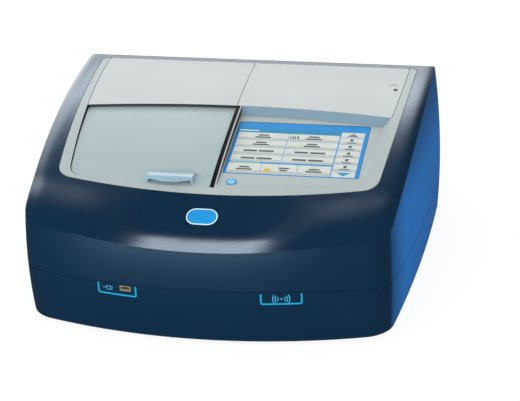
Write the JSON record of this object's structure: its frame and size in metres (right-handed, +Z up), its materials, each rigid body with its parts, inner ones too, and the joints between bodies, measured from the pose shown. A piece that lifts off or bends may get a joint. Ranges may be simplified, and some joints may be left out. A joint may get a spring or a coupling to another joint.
{
  "type": "uv-vis spectrophotometer",
  "caption": "Bench spectrophotometer with a curved sliding lid over the cell compartment, a tilted touch display, light covers and a dark moulded housing.",
  "frame": {"origin": "under the middle of the base, on the bench", "axes": "+Z up, the front with the lid's handle and the display looks along -Y, +X to the right as seen from the front"},
  "size_m": [0.5062, 0.46, 0.215],
  "materials": {
    "navy_body": "satin paint with a fine metallic effect",
    "deck_grey": "fine satin texture",
    "cover_grey": "fine satin texture",
    "lid_grey": "fine satin texture",
    "handle_blue": "half gloss",
    "dark_plastic": "matt",
    "seal_foam": "matt",
    "touch_glass": "clear and smooth",
    "screen_module": "lit picture area",
    "circuit_green": "solder mask",
    "button_blue": "half gloss",
    "sheet_steel": "plain sheet",
    "screw_steel": "turned",
    "foot_rubber": "matt",
    "filter_foam": "open foam",
    "black_anodised": "matt anodised",
    "cast_aluminium": "as cast",
    "mirror_coat": "polished",
    "optical_glass": "polished",
    "lamp_glass": "clear",
    "motor_black": "matt",
    "port_metal": "plated"
  },
  "bodies": {
    "housing": {"hood": "navy_body", "base_shell": "navy_body", "deck_frame": "deck_grey", "rear_cover_left": "cover_grey", "rear_cover_right": "cover_grey", "lid_rails": "dark_plastic", "divider_strip": "dark_plastic", "lid_seal": "seal_foam", "touch_glass": "touch_glass", "lcd_module": "screen_module", "display_board": "circuit_green", "chassis_plate": "sheet_steel", "rubber_feet": "foot_rubber", "base_screws": "screw_steel", "filter_cover": "dark_plastic", "filter_pad": "filter_foam", "cell_tray": "dark_plastic", "tray_windows": "optical_glass", "square_cell_holder": "black_anodised", "round_cell_holder": "black_anodised", "barcode_reader": "dark_plastic", "beam_splitter": "black_anodised", "reference_detector": "black_anodised", "sample_detector": "black_anodised", "monochromator_casting": "cast_aluminium", "monochromator_cover": "sheet_steel", "slit_plates": "black_anodised", "collimator_mirror": "mirror_coat", "focus_mirror": "mirror_coat", "turret_motor": "motor_black", "filter_motor": "motor_black", "lamp_bracket": "cast_aluminium", "halogen_lamp": "lamp_glass", "deuterium_lamp": "lamp_glass", "power_supply": "sheet_steel", "main_board": "circuit_green", "board_standoffs": "screw_steel", "rfid_board": "circuit_green", "rail_bridge": "sheet_steel", "rear_panel": "sheet_steel", "lamp_cover": "sheet_steel", "rear_screws": "screw_steel", "fan_frame": "dark_plastic", "mains_inlet": "dark_plastic", "network_port": "port_metal", "usb_ports": "port_metal"},
    "lid": {"cell_lid": "lid_grey", "lid_handle": "handle_blue"},
    "button": {"power_button": "button_blue"},
    "rocker": {"mains_rocker": "dark_plastic"},
    "drawer": {"fuse_drawer": "dark_plastic"},
    "rotor": {"fan_rotor": "dark_plastic"},
    "turret": {"grating_turret": "black_anodised", "diffraction_grating": "mirror_coat"},
    "wheel": {"filter_wheel": "black_anodised"},
    "flip": {"lamp_mirror": "mirror_coat"}
  },
  "joints": [
    {"name": "lid_slide", "type": "hinge", "parent": "housing", "child": "lid", "pos_m": [0, 0.163, -0.7958], "axis": [-1, 0, 0], "range_deg": [0, 7.9]},
    {"name": "button_press", "type": "slide", "parent": "housing", "child": "button", "axis": [0, 0.169, -0.9856], "range_m": [0, 0.0008], "stiffness_N_per_m": 800},
    {"name": "rocker_tip", "type": "hinge", "parent": "housing", "child": "rocker", "pos_m": [-0.17, 0.2235, 0.125], "axis": [1, 0, 0], "range_deg": [-8, 8]},
    {"name": "drawer_slide", "type": "slide", "parent": "housing", "child": "drawer", "axis": [0, 1, 0], "range_m": [0, 0.012]},
    {"name": "fan_spin", "type": "hinge", "parent": "housing", "child": "rotor", "pos_m": [0.042, 0.215, 0.108], "axis": [0, 1, 0], "continuous": true},
    {"name": "turret_turn", "type": "hinge", "parent": "housing", "child": "turret", "pos_m": [0.13, 0.092, 0.1], "axis": [0, 0, 1], "range_deg": [-35, 35]},
    {"name": "wheel_spin", "type": "hinge", "parent": "housing", "child": "wheel", "pos_m": [0.114, 0.1455, 0.1], "axis": [0, 1, 0], "continuous": true},
    {"name": "mirror_flip", "type": "hinge", "parent": "housing", "child": "flip", "pos_m": [0.095, 0.185, 0.09], "axis": [0, 0, 1], "range_deg": [-45, 45]}
  ]
}
